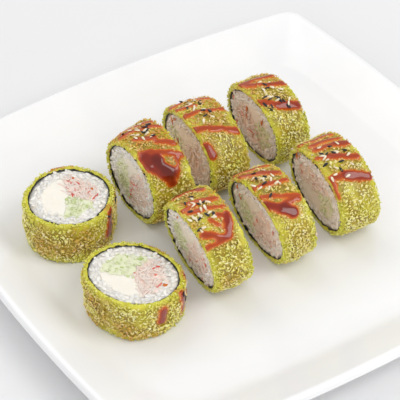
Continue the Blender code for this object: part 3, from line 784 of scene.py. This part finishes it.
def make_crust(key, slice_, batter):
    """The set batter: a lumpy tube with beaded rims, under and between the crumbs."""
    around = 200
    length = slice_["length"]
    rim = [
        (RIM_EDGE, 0.0, -0.6), (RIM_EDGE - 0.1, 0.0, 0.1), (1.5, 0.0, 0.35),
        (0.95, 0.0, 0.3), (0.5, 0.0, 0.1), (0.2, 0.35, 0.0),
    ]
    loops = [(inset, 1 - back / length, proud, 1.0) for inset, back, proud in rim]
    loops += [(0.0, place, 0.0, 0.0) for place in np.linspace(length - 1.0, 1.0, 26) / length]
    foot = 0.0 if slice_["pose"] == "stand" else 1.0
    loops += [(inset, back / length, proud * foot, 1.0) for inset, back, proud in reversed(rim)]
    angle = np.arange(around) * 2 * math.pi / around
    seed = slice_["number"] * 17
    rows, fresh = [], []
    for inset, place, proud, bead in loops:
        width, height = section_size(slice_, place)
        fuller = 1 + BARREL * 4 * place * (1 - place)
        u, v = squared_ellipse(width * fuller / 2, height * fuller / 2, angle)
        at = np.stack([u, v, np.full_like(u, place * length)], -1)
        fall = 0 if bead else end_rounding(slice_, np.array(place))
        rough = crag(slice_, angle, place) * (1 - inset / CRUST) - fall - inset
        rough = rough + 0.2 * lumps(at, 1.3, seed + 3) + 0.25 * lumps(at, 3.1, seed + 4)
        if inset == RIM_EDGE:
            rough = np.full_like(angle, -inset) + 0.25 * lumps(at, 2.2, seed + 8)
        beads = np.maximum(0.7 * lumps(at, 2.4, seed + 5), -0.3) if proud > 0 else 0
        u, v = squared_ellipse(width * fuller / 2 + rough, height * fuller / 2 + rough, angle)
        rows.append(on_plate(slice_, u, v, place, proud + beads))
        fresh.append(rim_freshness(slice_, at, place) if not bead else np.full(around, 0.9))
    faces = grid_faces(len(rows), around, wrap_rows=True, wrap_columns=True)
    part = (np.concatenate(rows), faces, 0, {"fresh": np.concatenate(fresh)})
    add_piece(f"fried_batter_{key}", [part], [batter], [f"crust_{key}"])


def rim_freshness(slice_, at, place):
    """How much of the smooth yellow-green batter shows: a lot near a rim, patches elsewhere."""
    from_end = np.minimum(place, 1 - place) * slice_["length"]
    near = np.clip(1 - from_end / 4.5, 0, 1)
    patch = np.clip(lumps(at, 7.0, slice_["number"] * 19 + 9) * 1.6 - 0.35, 0, 1)
    uneven = 0.75 + 0.35 * lumps(at, 2.6, slice_["number"] * 19 + 8)
    return np.clip(near * uneven + patch * 0.7, 0, 1)


def crumb_shape(draw):
    """A curled crumb: a bent, tapering flake of unit size."""
    bend = draw.uniform(0.1, 0.5)
    points = [(-0.5, 0.0, -bend * 0.4)]
    for x, girth in ((-0.2, 0.8), (0.18, 1.0)):
        for k in range(4):
            turn = math.pi / 2 * k + draw.uniform(-0.3, 0.3)
            wide = girth * draw.uniform(0.75, 1.15) / 2
            points.append((x, wide * math.cos(turn), wide * math.sin(turn) + bend * (0.25 - x * x)))
    points.append((0.5, draw.uniform(-0.2, 0.2), -bend * 0.4))
    faces = []
    for k in range(4):
        n = (k + 1) % 4
        faces += [(0, 1 + n, 1 + k), (1 + k, 1 + n, 5 + n), (1 + k, 5 + n, 5 + k), (5 + k, 5 + n, 9)]
    return np.array(points), np.array(faces)


def laid_crumbs(slice_, draw, at, around, along, outward, sizes, lift, marks):
    """Crumbs of five shapes, each turned at random on the surface it sticks to."""
    count = len(at)
    spin = draw.uniform(0, 2 * math.pi, count)[:, None]
    tilt = draw.normal(0, 0.45, count)[:, None]
    flat = around * np.cos(spin) + along * np.sin(spin)
    side = -around * np.sin(spin) + along * np.cos(spin)
    long_axis = flat * np.cos(tilt) + outward * np.sin(tilt)
    high_axis = outward * np.cos(tilt) - flat * np.sin(tilt)
    axes = np.stack([long_axis, side, high_axis], 1) * sizes[:, :, None]
    middles = at + outward * lift[:, None]
    shapes = random.Random(slice_["number"])
    for kind in range(5):
        own = np.arange(count) % 5 == kind
        shape_points, shape_faces = crumb_shape(shapes)
        points, faces = copies(shape_points, shape_faces, middles[own], axes[own])
        points[:, 2] = np.maximum(points[:, 2], WELL_FLOOR + 0.04)
        repeated = {name: np.repeat(values[own], len(shape_points)) for name, values in marks.items()}
        # Painted light: each crumb's tone rises with height on its own upper side, so its top is paler and
        # its underside darker as painted shade.
        repeated["tone"] = repeated["tone"] + np.tile(shape_points[:, 2], own.sum()) * 0.35
        yield points, faces, 0, repeated


def make_crumbs(key, slice_, crumb):
    """Fried crumbs stuck all over the crust's outer face and spilling over its cut rims."""
    draw = np.random.default_rng(slice_["number"] + 100)
    girth = 2 * math.pi * mean_radius(slice_)
    count = int(girth * slice_["length"] * CRUMBS_PER_SQUARE)
    angle = draw.uniform(-math.pi, math.pi, count)
    place = draw.uniform(0.008, 0.992, count)
    at, around, along, outward = crust_frame(slice_, angle, place)
    wet = glaze_depth(slice_, angle, place)
    length = draw.lognormal(math.log(CRUMB_LENGTH), 0.3, count).clip(0.7, 2.6)
    width = length * draw.uniform(0.38, 0.6, count)
    sizes = np.stack([length, width, width * draw.uniform(0.65, 1.0, count)], -1)
    drowned = np.clip(wet, 0, 0.6)
    lift = draw.uniform(0.0, 0.62, count)
    seed = slice_["number"] * 13
    fry = np.clip(lumps(at, 9.0, seed + 6) * 0.9 + slice_["browned"], 0, 0.75)
    marks = {
        # The lift term is painted light: crumbs that stand higher are made paler and low ones darker, as
        # painted shade in the hollows.
        "tone": 0.08 + draw.beta(2.0, 2.2, count) * 0.62 + (lift - 0.3) * 0.4,
        "stain": soaked(slice_, angle, at, wet) * draw.uniform(0.6, 1.0, count),
        "fry": fry * draw.uniform(0.3, 1.0, count),
        "fresh": rim_freshness(slice_, at, place) * draw.uniform(0.4, 1.0, count),
    }
    parts = list(laid_crumbs(slice_, draw, at, around, along, outward, sizes, lift - drowned, marks))
    for end in shown_ends(slice_):
        parts += rim_crumbs(slice_, draw, end)
    add_piece(f"fried_crumbs_{key}", parts, [crumb])


def soaked(slice_, angle, at, wet):
    """How far glaze has soaked into the crumbs: fully beside a run, in patches on top."""
    beside = np.clip((wet + 0.9) / 0.8, 0, 1) * 0.85
    if slice_["pose"] == "stand":
        return beside
    top = np.clip(1.25 - np.abs(np.degrees(angle) - 100) / 42, 0, 1)
    patch = np.clip(0.42 + 0.75 * lumps(at, 4.5, slice_["number"] * 23 + 7), 0, 0.8)
    return np.maximum(beside, top * patch)


def rim_crumbs(slice_, draw, end):
    """Crumbs over the crust's cut rim, thinning out towards the nori."""
    width, height = section_size(slice_, end)
    count = int(math.pi * (width + height) / 2 * RIM_EDGE * CRUMBS_PER_SQUARE)
    angle = draw.uniform(-math.pi, math.pi, count)
    inset = draw.beta(1.2, 1.9, count) * RIM_EDGE
    u, v = squared_ellipse(width / 2 - inset, height / 2 - inset, angle)
    at = on_plate(slice_, u, v, end, 0.3)
    proud = on_plate(slice_, u, v, end, 1.3)
    u2, v2 = squared_ellipse(width / 2 - inset, height / 2 - inset, angle + 0.02)
    outward = proud - at
    around = on_plate(slice_, u2, v2, end, 0.3) - at
    around -= outward * np.sum(outward * around, -1, keepdims=True)
    around /= np.linalg.norm(around, axis=-1, keepdims=True)
    along = np.cross(outward, around)
    length = draw.lognormal(math.log(RIM_CRUMB_LENGTH), 0.3, count).clip(0.6, 2.2)
    girth = length * draw.uniform(0.45, 0.7, count)
    sizes = np.stack([length, girth, girth * draw.uniform(0.6, 0.9, count)], -1)
    wet = glaze_depth(slice_, angle, np.full(count, end))
    marks = {
        "tone": 0.2 + draw.beta(2.0, 2.0, count) * 0.5,
        "stain": soaked(slice_, angle, at, wet) * draw.uniform(0.4, 1.0, count),
        "fry": np.zeros(count),
        "fresh": draw.uniform(0.35, 0.95, count),
    }
    lift = draw.uniform(-0.1, 0.3, count)
    return list(laid_crumbs(slice_, draw, at, around, along, outward, sizes, lift, marks))


# Nori, rice and fillings


def ring_sheet(slice_, inset_out, inset_in, ragged, seed, around=200, deep=0.0):
    """A closed tube between two insets, its ends rough by ragged, sunk by deep."""
    angle = np.arange(around) * 2 * math.pi / around
    rows = []
    ends = [(0.0, inset_in), (1.0, inset_in), (1.0, inset_out), (0.0, inset_out)]
    for place, inset in ends:
        width, height = section_size(slice_, place)
        u, v = squared_ellipse(width / 2 - inset, height / 2 - inset, angle)
        at = np.stack([u, v, np.full_like(u, place * 50)], -1)
        end_lumps = ragged * (0.6 * lumps(at, 1.1, seed) + 0.6 * lumps(at, 3.0, seed + 1))
        if place == 0.0 and slice_["pose"] == "stand":
            end_lumps = end_lumps * 0
        rows.append(on_plate(slice_, u, v, place, end_lumps - deep))
    return np.concatenate(rows), grid_faces(4, around, wrap_rows=True, wrap_columns=True)


def make_nori(key, slice_, leaf):
    """The sheet's cut edge: a thin dark line that dips in and out of sight."""
    sheet = ring_sheet(slice_, RIM_EDGE - 0.1, RIM_EDGE + 0.45, 0.9, slice_["number"], 300)
    add_piece(f"nori_sheet_{key}", [(*sheet, 0, {})], [leaf], [f"nori_{key}"])


def grain_shape(around, rings, taper=0.0):
    """A rounded grain of unit length, width and thickness."""
    points = [(-0.5, 0, 0)]
    for i in range(1, rings + 1):
        t = math.pi * i / (rings + 1)
        x = -math.cos(t) / 2
        girth = math.sin(t) ** 0.8 / 2 * (1 - taper * (x + 0.5))
        for k in range(around):
            turn = 2 * math.pi * k / around
            points.append((x, girth * math.cos(turn), girth * math.sin(turn)))
    points.append((0.5, 0, 0))
    faces = []
    last = len(points) - 1
    for k in range(around):
        n = (k + 1) % around
        faces.append((0, 1 + n, 1 + k))
        faces.append((last - around + k, last - around + n, last))
        for i in range(rings - 1):
            a = 1 + i * around
            faces.append((a + k, a + n, a + around + n))
            faces.append((a + k, a + around + n, a + around + k))
    return np.array(points), np.array(faces)


def face_bits(slice_, end, shape, u, v, height, spin, tilt, sizes):
    """Copies of a shape lying on a cut face, turned by spin and tilted out of it."""
    c, s = np.cos(spin), np.sin(spin)
    ct, st = np.cos(tilt), np.sin(tilt)
    zero = np.zeros_like(c)
    long_axis = np.stack([c * ct, s * ct, st], -1) * sizes[:, :1]
    side_axis = np.stack([-s, c, zero], -1) * sizes[:, 1:2]
    high_axis = np.stack([-c * st, -s * st, ct], -1) * sizes[:, 2:]
    axes = np.stack([long_axis, side_axis, high_axis], 1)
    points, faces = copies(shape[0], shape[1], np.stack([u, v, height], -1), axes)
    placed = on_plate(slice_, points[:, 0], points[:, 1], end, points[:, 2])
    placed[:, 2] = np.maximum(placed[:, 2], WELL_FLOOR + 0.04)
    if end == 1.0:
        return placed, faces
    return placed, faces[:, ::-1]


def sizes_between(draw, count, *ranges):
    """Lengths, widths and thicknesses, each drawn between its lowest and highest."""
    return np.stack([draw.uniform(low, high, count) for low, high in ranges], -1)


def shown_ends(slice_):
    """The cut faces that can be seen: a standing slice hides its far one."""
    return (1.0,) if slice_["pose"] == "stand" else (1.0, 0.0)


def make_rice(key, slice_, rice):
    """A ring of pressed rice: a bed through the slice, with single grains at its cut faces."""
    seed = slice_["number"] * 7 + 50
    draw = np.random.default_rng(seed)
    bed = ring_sheet(slice_, RIM_EDGE + 0.4, CORE_FACE + 0.4, 0.3, seed, 140, deep=0.6)
    soak = slice_["soak"]
    grain = grain_shape(8, 4)
    parts = [(*bed, 0, {"tone": np.full(len(bed[0]), 0.1), "soak": np.full(len(bed[0]), soak)})]
    for end in shown_ends(slice_):
        width, height = section_size(slice_, end)
        count = RICE_GRAINS
        angle = (np.arange(count) + draw.uniform(-0.5, 0.5, count)) * 2 * math.pi / count
        inset = RIM_EDGE + 1.3 + draw.uniform(0, 1, count) ** 0.9 * (CORE_FACE - RIM_EDGE - 1.1)
        u, v = squared_ellipse(width / 2 - inset, height / 2 - inset, angle)
        spin = angle + math.pi / 2 + draw.normal(0, 0.7, count)
        tilt = draw.normal(0, 0.35, count)
        sizes = sizes_between(draw, count, (3.4, 5.6), (2.1, 2.7), (1.2, 1.6))
        sunk = draw.uniform(-0.85, -0.5, count)
        points, faces = face_bits(slice_, end, grain, u, v, sunk, spin, tilt, sizes)
        tone = np.repeat(draw.uniform(0.0, 0.6, count), len(grain[0]))
        parts.append((points, faces, 0, {"tone": tone, "soak": np.full(len(points), soak * 0.8)}))
    add_piece(f"packed_rice_{key}", parts, [rice], [f"rice_{key}"])


def share_of(slice_, u, v):
    """Which filling holds each point of the core, 0 to 2 in the slice's order."""
    hub_u, hub_v = slice_["hub"]
    seed = slice_["number"] * 5 + 80
    u = u + 1.1 * flat_lumps(u, v, 3.4, seed) + 0.5 * flat_lumps(u, v, 1.3, seed + 1)
    v = v + 1.1 * flat_lumps(u, v, 3.4, seed + 2) + 0.5 * flat_lumps(u, v, 1.3, seed + 3)
    width, height = section_size(slice_, 1.0)
    turn = np.degrees(np.arctan2(v - hub_v, u - hub_u))
    edges = []
    for cut in slice_["cuts"]:
        x, y = squared_ellipse(width / 2 - CORE_FACE, height / 2 - CORE_FACE, math.radians(cut))
        edges.append(math.degrees(math.atan2(y - hub_v, x - hub_u)))
    number = np.zeros(np.shape(u), int)
    for i in range(3):
        begin = edges[i]
        span = (edges[(i + 1) % 3] - begin) % 360
        inside = (turn - begin) % 360 < span
        number = np.where(inside, i, number)
    return number


def core_block(slice_, index, relief, fine, seed):
    """One filling through the slice: cells of a lattice over the core, with rough cut faces."""
    step = FILLING_STEP
    width, height = section_size(slice_, 1.0)
    half_u, half_v = width / 2 - CORE_FACE + 0.45, height / 2 - CORE_FACE + 0.45
    reach = max(half_u, half_v)
    side = 2 * math.ceil(reach / step) + 1
    line = (np.arange(side) - side // 2) * step
    u, v = np.meshgrid(line, line, indexing="ij")
    u = u + 0.3 * step * flat_lumps(u, v, 0.9, seed)
    v = v + 0.3 * step * flat_lumps(u, v, 0.9, seed + 1)
    radial = (np.abs(u / half_u) ** SECTION_POWER + np.abs(v / half_v) ** SECTION_POWER)
    radial = radial ** (1 / SECTION_POWER)
    over = np.maximum(radial, 1)
    u, v = u / over, v / over
    centre_u = (u[:-1, :-1] + u[1:, 1:]) / 2
    centre_v = (v[:-1, :-1] + v[1:, 1:]) / 2
    inside = (radial[:-1, :-1] + radial[1:, 1:]) / 2 < 1.0
    kept = inside & (share_of(slice_, centre_u, centre_v) == index)
    here = np.arange(side * side).reshape(side, side)
    a, b = here[:-1, :-1][kept], here[1:, :-1][kept]
    c, d = here[1:, 1:][kept], here[:-1, 1:][kept]
    quads = np.stack([a, b, c, d], -1)
    edges = np.concatenate([quads[:, [i, (i + 1) % 4]] for i in range(4)])
    keyed = edges[:, 0] * side * side + edges[:, 1]
    back = edges[:, 1] * side * side + edges[:, 0]
    rim = edges[~np.isin(keyed, back)]
    flat_u, flat_v = u.reshape(-1), v.reshape(-1)
    ends = []
    for end in (1.0, 0.0):
        end_size = section_size(slice_, end)
        at = np.stack([flat_u, flat_v, np.full_like(flat_u, end * 40)], -1)
        rough = relief * lumps(at, 2.6, seed + 2) + fine * lumps(at, 0.9, seed + 3)
        if end == 0.0 and slice_["pose"] == "stand":
            rough = rough * 0
        scale_u = (end_size[0] / 2 - CORE_FACE) / (width / 2 - CORE_FACE)
        scale_v = (end_size[1] / 2 - CORE_FACE) / (height / 2 - CORE_FACE)
        sunk = 0.0 if end == 0.0 and slice_["pose"] == "stand" else -0.35
        ends.append(on_plate(slice_, flat_u * scale_u, flat_v * scale_v, end, rough + sunk))
    count = side * side
    front = np.concatenate([quads[:, [0, 1, 2]], quads[:, [0, 2, 3]]])
    walls = np.concatenate(
        [
            np.stack([rim[:, 1], rim[:, 0], rim[:, 0] + count], -1),
            np.stack([rim[:, 1], rim[:, 0] + count, rim[:, 1] + count], -1),
        ]
    )
    faces = np.concatenate([front, front[:, ::-1] + count, walls])
    used, index_of = np.unique(faces, return_inverse=True)
    points = np.concatenate(ends)[used]
    return points, index_of.reshape(-1, 3)


def spots_in(slice_, index, count, draw, spread=1.0, stray=1.2):
    """Random (u, v) points over one filling of the cut face, some strayed into the next."""
    width, height = section_size(slice_, 1.0)
    half_u, half_v = width / 2 - CORE_FACE, height / 2 - CORE_FACE
    u = draw.uniform(-half_u, half_u, count * 12) * spread
    v = draw.uniform(-half_v, half_v, count * 12) * spread
    inside = np.abs(u / half_u) ** 2 + np.abs(v / half_v) ** 2 < spread**2
    own = inside & (share_of(slice_, u, v) == index)
    u, v = u[own][:count], v[own][:count]
    return u + draw.normal(0, stray, len(u)), v + draw.normal(0, stray, len(v))


def shred_shape(draw, stations=6):
    """A torn strand of unit size, bent and wavy, four-sided."""
    bend, wave = draw.uniform(-0.35, 0.35), draw.uniform(-0.5, 0.5)
    loops = []
    for i in range(stations):
        t = i / (stations - 1) - 0.5
        side = bend * (0.25 - t * t) * 1.2 + wave * 0.12 * math.sin(5 * t)
        girth = 0.5 * (1 - (2 * abs(t)) ** 4 * 0.75) * draw.uniform(0.8, 1.1)
        for k in range(4):
            turn = math.pi / 4 + math.pi / 2 * k
            loops.append((t, side * 6 + girth * 1.3 * math.cos(turn), girth * 1.3 * math.sin(turn)))
    faces = [(0, 2, 1), (0, 3, 2)]
    for i in range(stations - 1):
        for k in range(4):
            a, b = i * 4 + k, i * 4 + (k + 1) % 4
            faces += [(a, b, b + 4), (a, b + 4, a + 4)]
    end = (stations - 1) * 4
    faces += [(end, end + 1, end + 2), (end, end + 2, end + 3)]
    return np.array(loops), np.array(faces)


def filling(slice_, index, relief, fine, seed, tone):
    """A filling's block with its marks."""
    points, faces = core_block(slice_, index, relief, fine, seed)
    flat = np.full(len(points), 1.0)
    return points, faces, 0, {"tone": flat * tone, "soak": flat * slice_["soak"]}


def make_crab(key, slice_, mix):
    """Shredded crab sticks bound with mayonnaise: pale strands, a few with the red skin."""
    index = slice_["order"].index("crab")
    seed = slice_["number"] * 11 + 200
    draw = np.random.default_rng(seed)
    parts = [filling(slice_, index, 0.5, 0.2, seed, 0.16)]
    shapes = random.Random(seed)
    lying = slice_["pose"] == "lie"
    spread, stray = (1.22, 2.0) if lying else (1.0, 1.2)
    red_share = 0.04 if lying else 0.09
    for end in shown_ends(slice_):
        for kind in range(4):
            u, v = spots_in(slice_, index, CRAB_STRANDS, draw, spread, stray)
            count = len(u)
            spin = draw.normal(CRAB_TURN, 0.8, count)
            sizes = sizes_between(draw, count, (2.6, 6.5), (0.6, 1.2), (0.4, 0.8))
            tilt = draw.normal(0, 0.08, count)
            height = draw.uniform(-0.5, -0.05, count)
            shape = shred_shape(shapes)
            points, faces = face_bits(slice_, end, shape, u, v, height, spin, tilt, sizes)
            red = draw.uniform(0, 1, count) < red_share
            tone = np.where(red, draw.uniform(0.45, 0.7, count), draw.uniform(0.0, 0.22, count))
            soak = slice_["soak"] * draw.uniform(0.5, 1, count)
            corners = len(shape[0])
            marks = {"tone": np.repeat(tone, corners), "soak": np.repeat(soak, corners)}
            parts.append((points, faces, 0, marks))
    add_piece(f"crab_mix_{key}", parts, [mix], [f"crab_{key}"])


def chip_shape(draw):
    """A chopped bit: a squashed, uneven block with its corners knocked off."""
    points, faces = grain_shape(5, 3)
    points = points.copy()
    points[:, 1:] *= 1.15
    for i in range(len(points)):
        points[i] *= draw.uniform(0.75, 1.2)
    return points, faces


def make_greens(key, slice_, leaf):
    """Finely chopped cucumber and lettuce, loosely packed."""
    index = slice_["order"].index("greens")
    seed = slice_["number"] * 11 + 400
    draw = np.random.default_rng(seed)
    parts = [filling(slice_, index, 0.35, 0.25, seed, 0.12)]
    shapes = random.Random(seed)
    for end in shown_ends(slice_):
        for kind in range(4):
            u, v = spots_in(slice_, index, GREEN_CHIPS, draw, stray=1.6)
            count = len(u)
            spin = draw.uniform(0, math.pi, count)
            tilt = draw.normal(0, 0.3, count)
            sizes = sizes_between(draw, count, (1.4, 3.4), (0.9, 1.8), (0.5, 1.1))
            height = draw.uniform(-0.6, -0.1, count)
            shape = chip_shape(shapes)
            points, faces = face_bits(slice_, end, shape, u, v, height, spin, tilt, sizes)
            tone = np.repeat(draw.uniform(0.0, 0.5, count), len(shape[0]))
            soak = np.full(len(points), slice_["soak"] * 0.5)
            parts.append((points, faces, 0, {"tone": tone, "soak": soak}))
    add_piece(f"chopped_greens_{key}", parts, [leaf], [f"greens_{key}"])


def make_cheese(key, slice_, cheese):
    """Cream cheese, one smooth strip through the slice."""
    index = slice_["order"].index("cream_cheese")
    parts = [filling(slice_, index, 0.35, 0.06, slice_["number"] * 11 + 600, 0.2)]
    add_piece(f"cheese_{key}", parts, [cheese], [f"cream_cheese_{key}"])


# Sesame

SEED_LENGTH = 3.1
SEED_WIDTH = 1.65
SEED_THICKNESS = 0.95


def seed_places(slice_):
    """The seeds that the solid has, by the same draw, and then the ones between them."""
    draw = slice_["draw"]
    (low, high), (near, far), count = slice_["seeds"]
    order = draw.sample(range(count), count)
    found = []
    for i in range(count):
        share = (high - low) / count
        angle = low + share * (i + 0.5 + draw.uniform(-0.33, 0.33))
        share = (far - near) / count
        place = near + share * (order[i] + 0.5 + draw.uniform(-0.33, 0.33))
        place = min(max(place, 0.07), 0.93)
        found.append((math.radians(angle), place, draw.uniform(0, math.pi)))
    extra = random.Random(slice_["number"] + 900)
    for (low, high), (near, far), count in slice_["sprinkle"]:
        for _ in range(count):
            angle = extra.gauss((low + high) / 2, (high - low) * 0.28)
            place = extra.gauss((near + far) / 2, (far - near) * 0.28)
            place = min(max(place, 0.05), 0.95)
            found.append((math.radians(angle), place, extra.uniform(0, math.pi)))
    return found


def make_sesame(hulls):
    """White and black seeds, scattered where the solids have them."""
    shape = grain_shape(9, 6, taper=0.45)
    tint = np.clip(0.5 - shape[0][:, 0] * 0.9, 0, 1)
    batches = {"white": [], "black": []}
    for slice_ in SLICES.values():
        draw = np.random.default_rng(slice_["number"] + 300)
        places = np.array(seed_places(slice_))
        angle, place, spin = places.T
        at, around, along, outward = crust_frame(slice_, angle, place)
        wet = np.clip(glaze_depth(slice_, angle, place), 0, 1.5)
        count = len(angle)
        tilt = draw.normal(0, 0.22, count)
        roll = draw.normal(0, 0.25, count)
        flat = around * np.cos(spin)[:, None] + along * np.sin(spin)[:, None]
        side = -around * np.sin(spin)[:, None] + along * np.cos(spin)[:, None]
        long_axis = flat * np.cos(tilt)[:, None] + outward * np.sin(tilt)[:, None]
        high_axis = outward * np.cos(tilt)[:, None] - flat * np.sin(tilt)[:, None]
        side, high_axis = (
            side * np.cos(roll)[:, None] + high_axis * np.sin(roll)[:, None],
            high_axis * np.cos(roll)[:, None] - side * np.sin(roll)[:, None],
        )
        grow = draw.uniform(0.88, 1.08, count)[:, None]
        axes = np.stack(
            [long_axis * SEED_LENGTH * grow, side * SEED_WIDTH * grow, high_axis * SEED_THICKNESS * grow], 1
        )
        middles = at + outward * (0.7 + wet * 0.75)[:, None]
        dark = draw.uniform(0, 1, count) < BLACK_SHARE
        for name, own in (("white", ~dark), ("black", dark)):
            points, faces = copies(shape[0], shape[1], middles[own], axes[own])
            number = int(own.sum())
            tone = np.tile(tint, number) * 0.7
            tone = tone + np.repeat(draw.uniform(0, 0.3, number), len(tint))
            batches[name].append((points, faces, 0, {"tone": tone}))
    for name, parts in batches.items():
        add_piece(f"sesame_{name}", parts, [hulls[name]])


# Stage


def make_floor():
    """A pale painted table top, far wider than the view."""
    mesh = bpy.data.meshes.new("table")
    half = 6.0
    corners = [(-half, -half, 0), (half, -half, 0), (half, half, 0), (-half, half, 0)]
    mesh.from_pydata(corners, [], [(0, 1, 2, 3)])
    material, tree, shader = new_surface("pale_table")
    where = add(tree, "ShaderNodeTexCoord")
    mottle = add(
        tree, "ShaderNodeTexNoise",
        {"Vector": where.outputs["Object"], "Scale": per_metre(180), "Detail": 1.0},
    )
    paint = add(
        tree, "ShaderNodeValToRGB", {"Fac": mottle.outputs["Fac"]},
        stops=[(0.3, "#e9e9ea"), (0.7, "#ececed")],
    )
    tree.links.new(paint.outputs["Color"], shader.inputs["Base Color"])
    set_values(shader, Roughness=0.6)
    mesh.materials.append(material)
    floor = bpy.data.objects.new("table", mesh)
    bpy.context.scene.collection.objects.link(floor)


def add_softbox(name, direction, distance, size, power, tint="#ffffff"):
    """A rectangular soft light that faces the plate from that direction."""
    lamp = bpy.data.lights.new(name, "AREA")
    lamp.shape = "RECTANGLE"
    lamp.size, lamp.size_y = size
    lamp.energy = power
    lamp.color = linear(tint)[:3]
    obj = bpy.data.objects.new(name, lamp)
    bpy.context.scene.collection.objects.link(obj)
    away = Vector(direction).normalized()
    obj.location = away * distance
    obj.rotation_euler = away.to_track_quat("Z", "Y").to_euler()


def light_studio():
    """Two softboxes, a weak fill from the left and a white room all round."""
    add_softbox("back_softbox", (-0.2, 0.6, 0.77), 3.0, (2.4, 2.0), 16.0)
    add_softbox("front_right_softbox", (0.42, -0.52, 0.7), 2.0, (1.0, 1.4), 15.0)
    add_softbox("left_fill", (-0.7, -0.5, 0.5), 2.5, (2.0, 2.0), 10.0)
    world = bpy.data.worlds.new("white_room")
    world.use_nodes = True
    background = world.node_tree.nodes["Background"]
    background.inputs["Color"].default_value = linear("#ffffff")
    background.inputs["Strength"].default_value = 0.66
    bpy.context.scene.world = world
    bpy.context.scene.view_settings.view_transform = "Standard"


def place_camera():
    """The photograph's camera, aimed at its target from its distance."""
    azimuth, elevation = math.radians(CAMERA_AZIMUTH), math.radians(CAMERA_ELEVATION)
    back = Vector(
        (
            math.sin(azimuth) * math.cos(elevation),
            -math.cos(azimuth) * math.cos(elevation),
            math.sin(elevation),
        )
    )
    right = (-back).cross(Vector((0, 0, 1))).normalized()
    right.rotate(Matrix.Rotation(math.radians(CAMERA_ROLL), 3, back))
    up = back.cross(right)
    camera = bpy.data.cameras.new("camera")
    camera.lens = CAMERA_LENS
    camera.sensor_width = 36.0
    camera.clip_start, camera.clip_end = 0.05, 50.0
    obj = bpy.data.objects.new("camera", camera)
    bpy.context.scene.collection.objects.link(obj)
    turned = Matrix((right, up, back)).transposed().to_4x4()
    middle = Vector(CAMERA_TARGET) * MM + back * CAMERA_DISTANCE * MM
    obj.matrix_world = Matrix.Translation(middle) @ turned
    bpy.context.scene.camera = obj


def main():
    place_camera()
    light_studio()
    make_floor()
    porcelain = glazed_porcelain()
    crumb = fried_crumb()
    batter = fried_batter()
    leaf = toasted_nori()
    syrup = soy_glaze()
    rice = cooked_food(
        "steamed_rice", [(0.15, "#ece6dd"), (0.6, "#f5f0e8"), (1.0, "#fbf8f2")], 4, 1.2, 0.1,
        Roughness=0.3, Subsurface_Weight=0.4, Subsurface_Scale=0.001, Coat_Weight=0.15,
        Subsurface_Radius=(1.0, 0.9, 0.8),
    )
    cheese = cooked_food(
        "cream_cheese", [(0.2, "#f3eddf"), (0.7, "#f8f4ea")], 6, 1.5, 0.12,
        Roughness=0.42, Subsurface_Weight=0.2, Subsurface_Scale=0.001,
        Subsurface_Radius=(1.0, 0.9, 0.75),
    )
    mix = cooked_food(
        "crab_stick_mix",
        [(0.15, "#fbf0e6"), (0.45, "#f8ddd0"), (0.62, "#f0ac9c"), (0.85, "#e05a4c")], 3, 0.9, 0.12,
        Roughness=0.38, Subsurface_Weight=0.25, Subsurface_Scale=0.001,
        Subsurface_Radius=(1.0, 0.8, 0.7),
    )
    chopped = cooked_food(
        "chopped_greens",
        [(0.15, "#f3f3de"), (0.5, "#dce3b4"), (0.85, "#aec56e")], 2.5, 0.9, 0.15,
        Roughness=0.32, Subsurface_Weight=0.2, Subsurface_Scale=0.001,
        Subsurface_Radius=(0.9, 1.0, 0.7),
    )
    hulls = {
        "white": sesame_hull("white_sesame", "#f7efd8", "#d8c294", 0.4),
        "black": sesame_hull("black_sesame", "#2a2730", "#121116", 0.35),
    }
    make_plate(porcelain)
    for number, (key, slice_) in enumerate(SLICES.items()):
        slice_["number"] = number
        slice_["draw"] = random.Random(number)
        slice_["waves"] = [slice_["draw"].uniform(0, 2 * math.pi) for _ in range(3)]
        make_crust(key, slice_, batter)
        make_crumbs(key, slice_, crumb)
        make_glaze(key, slice_, syrup)
        make_nori(key, slice_, leaf)
        make_rice(key, slice_, rice)
        make_crab(key, slice_, mix)
        make_cheese(key, slice_, cheese)
        make_greens(key, slice_, chopped)
    make_sesame(hulls)


main()
